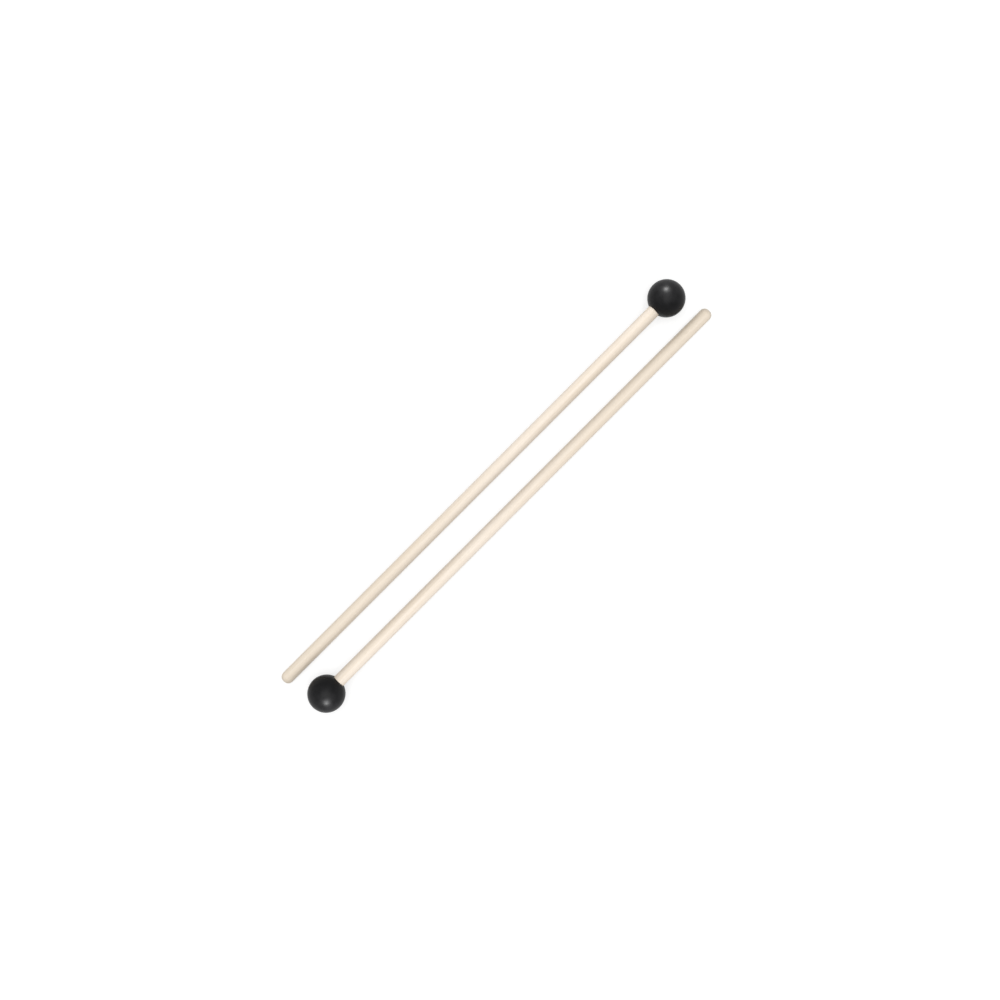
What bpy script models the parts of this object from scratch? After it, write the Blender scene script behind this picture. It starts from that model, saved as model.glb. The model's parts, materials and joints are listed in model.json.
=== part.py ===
"""A pair of xylophone mallets, lying side by side and head to tail.

Each mallet is a straight wooden dowel with a solid ball for a head. The ball has a blind
socket, drilled towards its centre, and a skin of adhesive holds the dowel in it.

X runs along the pair, Y across it and Z up. The pair rests on z = 0, centred on the Z axis.
"""

import math

import bmesh
import bpy
from mathutils import Matrix, Vector

# Driving dimensions, in metres
HEAD_DIAMETER = 0.0254
CROWN_WALL = 0.0050
MOUTH_CHAMFER = 0.0002
DRILL_POINT_ANGLE = math.radians(118)

SHAFT_DIAMETER = 0.0087
OVERALL_LENGTH = 0.37465
BUTT_FLAT_DIAMETER = 0.0018
BUTT_DOME_LENGTH = 0.0038
TIP_CHAMFER = 0.0006
TIP_SETBACK = 0.0005

GLUE_THICKNESS = 0.00015
GLUE_SETBACK = 0.0005

HEAD_TO_SHAFT_GAP = 0.0090
BUTT_OVERHANG = 0.0158

# Clearances, in metres
GLUE_TO_WOOD = 0.0001
GLUE_TO_HEAD = 0.0001

# Facets
ROUND_STEPS = 48
HEAD_STEPS = 24
DOME_STEPS = 8
MERGE_DISTANCE = 1e-6

# Worked out from the sizes above. A mallet's own X axis runs through its shaft, out of the
# head, and its origin is the centre of the ball
HEAD_RADIUS = HEAD_DIAMETER / 2
SHAFT_RADIUS = SHAFT_DIAMETER / 2
BUTT_FLAT_RADIUS = BUTT_FLAT_DIAMETER / 2
BORE_RADIUS = SHAFT_RADIUS + GLUE_TO_WOOD + GLUE_THICKNESS + GLUE_TO_HEAD
BUTT_X = HEAD_RADIUS - OVERALL_LENGTH
DOME_X = BUTT_X + BUTT_DOME_LENGTH
HALF_POINT = DRILL_POINT_ANGLE / 2
BORE_TIP_X = HEAD_RADIUS - CROWN_WALL
BORE_END_X = BORE_TIP_X - BORE_RADIUS / math.tan(HALF_POINT)
SHAFT_TIP_X = BORE_END_X - TIP_SETBACK
MOUTH_RADIUS = BORE_RADIUS + MOUTH_CHAMFER
MOUTH_X = -math.sqrt(HEAD_RADIUS**2 - MOUTH_RADIUS**2)


def clear_scene():
    for old in list(bpy.data.objects):
        bpy.data.objects.remove(old, do_unlink=True)


def linear(level):
    """A screen level from 0 to 255 as linear light."""
    level /= 255
    return level / 12.92 if level <= 0.04045 else ((level + 0.055) / 1.055) ** 2.4


def finish(name, screen_colour, roughness, metallic=0.0):
    material = bpy.data.materials.new(name)
    material.use_nodes = True
    colour = (*map(linear, screen_colour), 1.0)
    surface = material.node_tree.nodes["Principled BSDF"]
    surface.inputs["Base Color"].default_value = colour
    surface.inputs["Roughness"].default_value = roughness
    surface.inputs["Metallic"].default_value = metallic
    material.diffuse_color = colour
    return material


def arc(first_angle, last_angle, steps):
    """The angles that divide a turn from first_angle to last_angle into equal steps."""
    return [first_angle + (last_angle - first_angle) * i / steps for i in range(steps + 1)]


def turned(name, profile, material):
    """A mesh turned on the X axis, from a profile of (x, radius) points that starts and ends on it.

    The profile stands half a step off the vertical, so that a flat, not an edge, faces down.
    """
    start = Matrix.Rotation(math.pi / ROUND_STEPS, 4, "X")
    form = bmesh.new()
    points = [form.verts.new(start @ Vector((x, 0, radius))) for x, radius in profile]
    outline = [form.edges.new(pair) for pair in zip(points, points[1:])]
    bmesh.ops.spin(
        form,
        geom=points + outline,
        axis=(1, 0, 0),
        cent=(0, 0, 0),
        angle=math.tau,
        steps=ROUND_STEPS,
        use_merge=True,
    )
    bmesh.ops.remove_doubles(form, verts=form.verts, dist=MERGE_DISTANCE)
    bmesh.ops.recalc_face_normals(form, faces=form.faces)
    mesh = bpy.data.meshes.new(name)
    form.to_mesh(mesh)
    form.free()
    mesh.shade_smooth()
    mesh.set_sharp_from_angle(angle=math.radians(30))
    mesh.materials.append(material)
    return mesh


def head_mesh():
    """The ball: round from its crown to the mouth, then down the drilled socket to its point."""
    mouth_angle = math.pi - math.asin(MOUTH_RADIUS / HEAD_RADIUS)
    ball = [
        (HEAD_RADIUS * math.cos(angle), HEAD_RADIUS * math.sin(angle))
        for angle in arc(0, mouth_angle, HEAD_STEPS)
    ]
    socket = [
        (MOUTH_X + MOUTH_CHAMFER, BORE_RADIUS),
        (BORE_END_X, BORE_RADIUS),
        (BORE_TIP_X, 0),
    ]
    return turned("head", ball + socket, finish("black_hard_rubber", (24, 24, 25), 0.38))


def shaft_mesh():
    """The dowel: a domed butt with a small flat, the straight grip, and a chamfered tip."""
    dome_rise = SHAFT_RADIUS - BUTT_FLAT_RADIUS
    dome = [
        (
            DOME_X - BUTT_DOME_LENGTH * math.cos(angle),
            BUTT_FLAT_RADIUS + dome_rise * math.sin(angle),
        )
        for angle in arc(0, math.pi / 2, DOME_STEPS)
    ]
    tip = [
        (SHAFT_TIP_X - TIP_CHAMFER, SHAFT_RADIUS),
        (SHAFT_TIP_X, SHAFT_RADIUS - TIP_CHAMFER),
        (SHAFT_TIP_X, 0),
    ]
    wood = finish("pale_hardwood", (236, 224, 208), 0.45)
    return turned("shaft", [(BUTT_X, 0)] + dome + tip, wood)


def glue_mesh():
    """The adhesive: a thin cup round the dowel, filling the drill point behind its tip."""
    outer_radius = BORE_RADIUS - GLUE_TO_HEAD
    inner_radius = SHAFT_RADIUS + GLUE_TO_WOOD
    rim_x = MOUTH_X + GLUE_SETBACK
    cup = [
        (BORE_TIP_X - GLUE_TO_HEAD / math.sin(HALF_POINT), 0),
        (BORE_END_X - GLUE_TO_HEAD * math.tan(HALF_POINT / 2), outer_radius),
        (rim_x, outer_radius),
        (rim_x, inner_radius),
        (SHAFT_TIP_X + GLUE_TO_WOOD, inner_radius),
        (SHAFT_TIP_X + GLUE_TO_WOOD, 0),
    ]
    return turned("glue", cup, finish("clear_adhesive", (214, 190, 140), 0.3))


def rest_tilt():
    """How far a mallet leans, lying with its head and the end of its full-width shaft on the floor."""
    reach = math.hypot(DOME_X, SHAFT_RADIUS)
    return math.asin(HEAD_RADIUS / reach) - math.atan2(SHAFT_RADIUS, -DOME_X)


def lay_mallet(name, turn, meshes):
    """One mallet on the floor, turned round Z about the middle of the pair."""
    tilt = rest_tilt()
    head_x = (-BUTT_X * math.cos(tilt) - BUTT_OVERHANG) / 2
    head_y = (HEAD_RADIUS + HEAD_TO_SHAFT_GAP + SHAFT_RADIUS) / 2
    frame = bpy.data.objects.new(name, None)
    frame.empty_display_size = HEAD_RADIUS
    frame.rotation_euler = (0, -tilt, turn)
    frame.location = Matrix.Rotation(turn, 3, "Z") @ Vector((head_x, head_y, HEAD_RADIUS))
    bpy.context.collection.objects.link(frame)
    for mesh in meshes:
        piece = bpy.data.objects.new(f"{name}_{mesh.name}", mesh)
        piece.parent = frame
        bpy.context.collection.objects.link(piece)


clear_scene()
pieces = [shaft_mesh(), head_mesh(), glue_mesh()]
lay_mallet("mallet_a", 0, pieces)
lay_mallet("mallet_b", math.pi, pieces)
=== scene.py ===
"""The looks of a pair of xylophone mallets: pale wooden dowels with black hard rubber balls."""

import json
import math

import bpy
import numpy as np
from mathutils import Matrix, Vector


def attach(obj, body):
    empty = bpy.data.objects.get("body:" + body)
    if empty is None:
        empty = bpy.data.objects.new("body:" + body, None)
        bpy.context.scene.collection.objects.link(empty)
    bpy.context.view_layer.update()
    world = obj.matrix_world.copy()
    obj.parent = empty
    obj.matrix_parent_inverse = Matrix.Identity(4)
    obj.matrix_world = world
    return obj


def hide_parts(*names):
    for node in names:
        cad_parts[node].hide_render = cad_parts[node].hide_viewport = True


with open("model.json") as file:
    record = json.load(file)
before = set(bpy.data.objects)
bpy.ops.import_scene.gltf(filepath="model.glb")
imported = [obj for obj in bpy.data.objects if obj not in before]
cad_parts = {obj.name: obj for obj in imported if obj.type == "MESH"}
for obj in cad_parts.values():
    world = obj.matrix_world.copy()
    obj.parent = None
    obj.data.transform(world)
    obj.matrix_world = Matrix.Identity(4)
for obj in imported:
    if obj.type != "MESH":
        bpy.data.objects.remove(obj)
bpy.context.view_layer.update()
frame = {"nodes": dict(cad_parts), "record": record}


# The camera looks straight down on the pair, which lies at 45 degrees in the picture: +X to
# the upper right, +Y to the upper left. Its height is the one at which the balls and the far
# butts keep the sizes that they have against each other in the photograph.
picture_width = 1000
focal_length_px = 1370
camera_height = 0.9247
picture_right = Vector((1, -1, 0)).normalized()
picture_up = Vector((1, 1, 0)).normalized()
# From the middle of the picture to the middle of the pair, to the right and upwards
pair_right_px, pair_up_px = -3.55, 3.98

metres_per_px = camera_height / focal_length_px
camera_data = bpy.data.cameras.new("camera")
camera_data.sensor_width = 36
camera_data.lens = camera_data.sensor_width * focal_length_px / picture_width
camera = bpy.data.objects.new("camera", camera_data)
camera.location = (
    -picture_right * pair_right_px * metres_per_px
    - picture_up * pair_up_px * metres_per_px
    + Vector((0, 0, camera_height))
)
camera.rotation_euler = (0, 0, -math.radians(45))
bpy.context.scene.collection.objects.link(camera)
bpy.context.scene.camera = camera


# The dowels. Each is a straight rod of pale, close-grained hardwood, turned to one diameter,
# sanded, given a domed butt with a small flat, and sealed with a thin satin lacquer.
# Its other end is chamfered and glued into the ball.
tip_chamfer = 0.0006
dome_steps = 24
straight_rings = 120
dowel_sides = 96
sharp_edge = math.radians(40)
measuring_slack = 1e-6


class Mallet:
    """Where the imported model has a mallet: its axis from the butt to the ball, and its sizes."""

    def __init__(self, body):
        mounts = {mount["name"]: mount for mount in frame["record"]["mounts"]}
        butt = mounts[body + "_butt"]
        self.body = body
        self.butt = np.array(butt["pos_m"])
        self.ahead = -np.array(butt["axis"]) / np.linalg.norm(butt["axis"])
        self.side = np.cross((0, 0, 1), self.ahead)
        self.side /= np.linalg.norm(self.side)
        self.up = np.cross(self.ahead, self.side)
        shaft_along, shaft_radius = self.reach(body + "_shaft")
        head_along, head_radius = self.reach(body + "_head")
        self.shaft_radius = shaft_radius.max()
        self.shaft_length = shaft_along.max()
        self.dome_length = shaft_along[shaft_radius > self.shaft_radius - measuring_slack].min()
        self.flat_radius = shaft_radius[shaft_along < measuring_slack].max()
        self.head_radius = head_radius.max()
        self.crown = head_along.max()
        self.centre = self.crown - self.head_radius

    def reach(self, node):
        """Each vertex's distance along the mallet's axis from the butt, and out from that axis."""
        mesh = frame["nodes"][node].data
        points = np.zeros(len(mesh.vertices) * 3)
        mesh.vertices.foreach_get("co", points)
        away = points.reshape(-1, 3) - self.butt
        along = away @ self.ahead
        return along, np.linalg.norm(away - along[:, None] * self.ahead, axis=1)


def turned(name, mallet, along, radius, sides):
    """A closed surface of revolution round a mallet's axis, given its profile from pole to pole.

    A point is the butt plus its distance along the axis, plus its radius times the cosine of its
    angle to the side and the sine of it upwards. The first and last points of the profile are
    the poles. The attribute "lathe" keeps each point's place along, beside and above the axis.
    """
    angle = np.linspace(0, math.tau, sides, endpoint=False)
    ring_along, ring_radius = along[1:-1, None], radius[1:-1, None]
    rings = np.stack(
        np.broadcast_arrays(ring_along, ring_radius * np.cos(angle), ring_radius * np.sin(angle)),
        axis=-1,
    )
    lathe = np.vstack(([[along[0], 0, 0]], rings.reshape(-1, 3), [[along[-1], 0, 0]]))
    points = mallet.butt + lathe @ np.array((mallet.ahead, mallet.side, mallet.up))

    # Vertex 0 is the first pole, each ring follows in turn, and the last vertex is the other pole
    here = 1 + np.arange(sides)
    beyond = 1 + np.arange(1, sides + 1) % sides
    row = sides * np.arange(len(along) - 3)[:, None]
    last_row = sides * (len(along) - 3)
    first_pole = np.zeros_like(here)
    last_pole = np.full_like(here, len(points) - 1)
    quads = np.stack((row + sides + here, row + sides + beyond, row + beyond, row + here), -1)
    first_fan = np.stack((here, beyond, first_pole), -1)
    last_fan = np.stack((last_row + beyond, last_row + here, last_pole), -1)
    faces = quads.reshape(-1, 4).tolist() + first_fan.tolist() + last_fan.tolist()

    mesh = bpy.data.meshes.new(name)
    mesh.from_pydata(points, [], faces)
    place = mesh.attributes.new("lathe", "FLOAT_VECTOR", "POINT")
    place.data.foreach_set("vector", lathe.astype(np.float32).ravel())
    mesh.shade_smooth()
    mesh.set_sharp_from_angle(angle=sharp_edge)
    piece = bpy.data.objects.new(name, mesh)
    bpy.context.scene.collection.objects.link(piece)
    return piece


def arc(end_degrees, steps):
    """Angles that divide the turn from 0 to end_degrees into equal steps, in radians."""
    return np.radians(np.linspace(0, end_degrees, steps + 1))


class Wire:
    """A node's output. Arithmetic on wires adds Math nodes, and add() makes any other node."""

    def __init__(self, tree, socket=None):
        self.tree = tree
        self.socket = socket

    def add(self, kind, settings=None, values=None, output=0):
        node = self.tree.nodes.new("ShaderNode" + kind)
        for name, value in (settings or {}).items():
            setattr(node, name, value)
        for name, value in (values or {}).items():
            if isinstance(value, Wire):
                value.into(node.inputs[name])
            else:
                node.inputs[name].default_value = value
        return Wire(self.tree, node.outputs[output])

    def beside(self, output):
        """Another output of the same node."""
        return Wire(self.tree, self.socket.node.outputs[output])

    def into(self, socket):
        self.tree.links.new(self.socket, socket)

    def math(self, operation, first, second):
        return self.add("Math", {"operation": operation}, {0: first, 1: second})

    def __add__(self, other):
        return self.math("ADD", self, other)

    def __mul__(self, other):
        return self.math("MULTIPLY", self, other)

    def __sub__(self, other):
        return self.math("SUBTRACT", self, other)

    def __rsub__(self, other):
        return self.math("SUBTRACT", other, self)

    __radd__ = __add__
    __rmul__ = __mul__


def painted(red, green, blue):
    """A colour as it looks on screen, from 0 to 255, as linear light."""
    level = np.array((red, green, blue)) / 255
    linear = np.where(level <= 0.04045, level / 12.92, ((level + 0.055) / 1.055) ** 2.4)
    return (*linear.tolist(), 1.0)


def material_of(name):
    """A new material: its surface shader, and a wire to start other nodes from."""
    material = bpy.data.materials.new(name)
    material.use_nodes = True
    return material, material.node_tree.nodes["Principled BSDF"], Wire(material.node_tree)


def streaks(wire, place, across_m, along_m, detail=3.0):
    """Noise drawn out along the grain: its cells are across_m wide and along_m long."""
    scale = (1 / along_m, 1 / across_m, 1 / across_m)
    stretched = wire.add("Mapping", {"vector_type": "POINT"}, {"Vector": place, "Scale": scale})
    return wire.add(
        "TexNoise", {}, {"Vector": stretched, "Scale": 1.0, "Detail": detail, "Roughness": 0.55}
    )


def blend(wire, share, first, second):
    """A colour that goes from first to second as share goes from 0 to 1.

    A Mix node keeps its two colours in inputs 6 and 7, and the result in output 2.
    """
    return wire.add("Mix", {"data_type": "RGBA"}, {0: share, 6: first, 7: second}, output=2)


def ramp_between(wire, value, low, high):
    """0 where value is at low, 1 where it is at high, and clamped beyond."""
    return wire.add("MapRange", {}, {"Value": value, "From Min": low, "From Max": high})


def lacquered_wood(length):
    """Pale hardwood: broad growth bands, fine streaks, short pores, and a darker butt end."""
    early_wood = painted(238, 227, 214)
    late_wood = painted(229, 215, 197)
    streak_brown = painted(214, 196, 172)
    pore_brown = painted(188, 164, 134)
    butt_yellow = painted(212, 198, 174)

    material, surface, wire = material_of("lacquered_wood")
    place = wire.add("Attribute", {"attribute_name": "lathe"}, output="Vector")
    along = wire.add("SeparateXYZ", {}, {"Vector": place})
    bands = streaks(wire, place, across_m=0.0022, along_m=0.16)
    fine = streaks(wire, place, across_m=0.00035, along_m=0.018)
    pores = streaks(wire, place, across_m=0.00022, along_m=0.0022, detail=1.0)
    band_share = ramp_between(wire, bands, 0.35, 0.68)
    fine_share = ramp_between(wire, fine, 0.3, 0.75)
    pore_share = ramp_between(wire, pores, 0.66, 0.8)
    butt_share = ramp_between(wire, along, 0.55 * length, 0.0)
    tone = blend(wire, band_share, early_wood, late_wood)
    tone = blend(wire, fine_share * 0.35, tone, streak_brown)
    tone = blend(wire, pore_share * 0.3, tone, pore_brown)
    tone = blend(wire, butt_share * 0.35, tone, butt_yellow)
    tone.into(surface.inputs["Base Color"])
    (0.4 + 0.12 * fine_share).into(surface.inputs["Roughness"])
    relief = fine * 0.6 - pore_share * 0.4
    bump = wire.add("Bump", {}, {"Height": relief, "Strength": 0.25, "Distance": 0.00006})
    bump.into(surface.inputs["Normal"])
    surface.inputs["IOR"].default_value = 1.45
    surface.inputs["Coat Weight"].default_value = 0.12
    surface.inputs["Coat Roughness"].default_value = 0.3
    return material


def dowel(mallet):
    """The butt's flat, a quarter ellipse up to the straight side, that side, and the tip's chamfer."""
    turn = arc(90, dome_steps)
    rise = mallet.shaft_radius - mallet.flat_radius
    straight_end = mallet.shaft_length - tip_chamfer
    straight = np.linspace(mallet.dome_length, straight_end, straight_rings)[1:]
    along = np.concatenate(
        ([0], mallet.dome_length * (1 - np.cos(turn)), straight, [mallet.shaft_length] * 2)
    )
    radius = np.concatenate(
        (
            [0],
            mallet.flat_radius + rise * np.sin(turn),
            np.full(straight.shape, mallet.shaft_radius),
            [mallet.shaft_radius - tip_chamfer, 0],
        )
    )
    return turned(mallet.body + "_dowel", mallet, along, radius, dowel_sides)


mallets = [Mallet("mallet_a"), Mallet("mallet_b")]
wood = lacquered_wood(mallets[0].shaft_length)
dowels = [dowel(mallet) for mallet in mallets]
for mallet, piece in zip(mallets, dowels):
    piece.data.materials.append(wood)
    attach(piece, mallet.body)
    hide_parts(mallet.body + "_shaft")


# The balls. Each is a solid ball of black hard rubber, moulded and tumbled to a satin skin,
# with a blind socket drilled towards its centre. The dowel is glued in the socket.
socket_clearance = 0.00035
mouth_chamfer = 0.0002
crown_wall = 0.0050
drill_half_angle = math.radians(59)
ball_steps = 96
ball_sides = 128


def hard_rubber():
    """Black rubber: a soft, even skin with faint mottling and very fine pits."""
    material, surface, wire = material_of("black_hard_rubber")
    place = wire.add("TexCoord", output="Object")
    mottle = wire.add("TexNoise", {}, {"Vector": place, "Scale": 260.0, "Detail": 4.0})
    pits = wire.add("TexNoise", {}, {"Vector": place, "Scale": 2600.0, "Detail": 2.0})
    share = ramp_between(wire, mottle, 0.35, 0.7)
    tone = blend(wire, share, painted(10, 10, 11), painted(17, 17, 18))
    tone.into(surface.inputs["Base Color"])
    (0.36 + 0.08 * share).into(surface.inputs["Roughness"])
    bump = wire.add("Bump", {}, {"Height": pits, "Strength": 0.3, "Distance": 0.00003})
    bump.into(surface.inputs["Normal"])
    surface.inputs["IOR"].default_value = 1.5
    surface.inputs["Specular IOR Level"].default_value = 0.12
    return material


def ball(mallet):
    """A sphere from its crown round to the mouth, the mouth's chamfer, and the socket to its point."""
    bore = mallet.shaft_radius + socket_clearance
    mouth_turn = 180 - math.degrees(math.asin((bore + mouth_chamfer) / mallet.head_radius))
    turn = arc(mouth_turn, ball_steps)
    mouth = mallet.centre + mallet.head_radius * math.cos(turn[-1])
    point = mallet.crown - crown_wall
    along = np.concatenate(
        (
            mallet.centre + mallet.head_radius * np.cos(turn),
            [mouth + mouth_chamfer, point - bore / math.tan(drill_half_angle), point],
        )
    )
    radius = np.concatenate((mallet.head_radius * np.sin(turn), [bore, bore, 0]))
    return turned(mallet.body + "_ball", mallet, along[::-1], radius[::-1], ball_sides)


rubber = hard_rubber()
balls = [ball(mallet) for mallet in mallets]
for mallet, piece in zip(mallets, balls):
    piece.data.materials.append(rubber)
    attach(piece, mallet.body)
    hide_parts(mallet.body + "_head")


# The adhesive. A thin skin of amber glue fills the socket round the dowel and, once it has
# cured, is all that holds the ball on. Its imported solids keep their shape.
def cured_adhesive():
    """Amber glue, a little cloudy, and duller where the cloud is."""
    material, surface, wire = material_of("cured_adhesive")
    place = wire.add("TexCoord", output="Object")
    cloud = wire.add("TexNoise", {}, {"Vector": place, "Scale": 700.0, "Detail": 2.0})
    tone = blend(wire, cloud, painted(198, 170, 118), painted(220, 200, 158))
    tone.into(surface.inputs["Base Color"])
    (0.25 + 0.2 * cloud).into(surface.inputs["Roughness"])
    return material


glue = cured_adhesive()
for mallet in mallets:
    frame["nodes"][mallet.body + "_glue"].material_slots[0].material = glue


# The studio. The pair lies on a plain white floor under an even sky. To the camera the floor
# adds a glow of its own, so that only a faint shadow is left on it.
floor_half_width = 4.0


def seen_share(wire):
    """1 to the camera, in a reflection and through glass, and 0 to all other light."""
    camera_ray = wire.add("LightPath", output="Is Camera Ray")
    glossy_ray = camera_ray.beside("Is Glossy Ray")
    transmission_ray = camera_ray.beside("Is Transmission Ray")
    return wire.math("MINIMUM", camera_ray + glossy_ray + transmission_ray, 1.0)


def world_light(strength):
    """An even dim sky for lighting, which the camera and shiny surfaces see as white."""
    world = bpy.data.worlds.new("studio")
    world.use_nodes = True
    share = seen_share(Wire(world.node_tree))
    background = world.node_tree.nodes["Background"]
    background.inputs["Color"].default_value = (1, 1, 1, 1)
    (share * (1 - strength) + strength).into(background.inputs["Strength"])
    bpy.context.scene.world = world


def white_floor(glow, reflectance):
    """A dull surface of the given reflectance, plus a glow that only what sees it gets."""
    material, surface, wire = material_of("white_floor")
    glowing = wire.add(
        "Emission", {}, {"Color": (1, 1, 1, 1), "Strength": seen_share(wire) * glow}
    )
    dull = wire.add("BsdfDiffuse", {}, {"Color": (reflectance, reflectance, reflectance, 1)})
    both = wire.add("AddShader", {}, {0: glowing, 1: dull})
    both.into(wire.tree.nodes["Material Output"].inputs["Surface"])
    wire.tree.nodes.remove(surface)
    return material


corner_signs = ((-1, -1), (1, -1), (1, 1), (-1, 1))
floor_corners = [(x * floor_half_width, y * floor_half_width, 0) for x, y in corner_signs]
floor_mesh = bpy.data.meshes.new("floor")
floor_mesh.from_pydata(floor_corners, [], [(0, 1, 2, 3)])
floor_mesh.materials.append(white_floor(glow=0.62, reflectance=0.5))
floor = bpy.data.objects.new("floor", floor_mesh)
bpy.context.scene.collection.objects.link(floor)
world_light(strength=0.55)


def soft_lamp(name, place, target, size, power, lit=None):
    """A square soft box that faces target. Where lit is given, it lights that piece only."""
    lamp = bpy.data.lights.new(name, "AREA")
    lamp.size = size
    lamp.energy = power
    holder = bpy.data.objects.new(name, lamp)
    holder.location = place
    holder.rotation_euler = (Vector(place) - Vector(target)).to_track_quat("Z", "Y").to_euler()
    bpy.context.scene.collection.objects.link(holder)
    if lit:
        receivers = bpy.data.collections.new(name + "_lights")
        receivers.objects.link(lit)
        holder.light_linking.receiver_collection = receivers


# Each mallet has its lamps on its own side, as in the photograph: towards the top of the
# picture for the one whose ball is there, and towards the bottom for the other. A small one
# makes the ball's highlight, and a wider one lights the dowel.
lamp_right, lamp_up, lamp_rise = -0.09, 0.75, 0.66
key_distance = 0.6
side_distance = 1.2
overhead_height = 1.6
soft_lamp("overhead", (0, 0, overhead_height), (0, 0, 0), size=1.4, power=14)
for mallet, rod, head, turn in zip(mallets, dowels, balls, (1, -1)):
    toward = (
        picture_right * turn * lamp_right
        + picture_up * turn * lamp_up
        + Vector((0, 0, lamp_rise))
    )
    centre = Vector(mallet.butt + mallet.centre * mallet.ahead)
    key_place = centre + toward * key_distance
    soft_lamp(mallet.body + "_key", key_place, centre, size=0.16, power=9, lit=head)
    middle = Vector((0, centre.y, 0))
    side_place = middle + toward * side_distance
    soft_lamp(mallet.body + "_side", side_place, middle, size=0.5, power=3.4, lit=rod)

bpy.context.scene.view_settings.view_transform = "Standard"
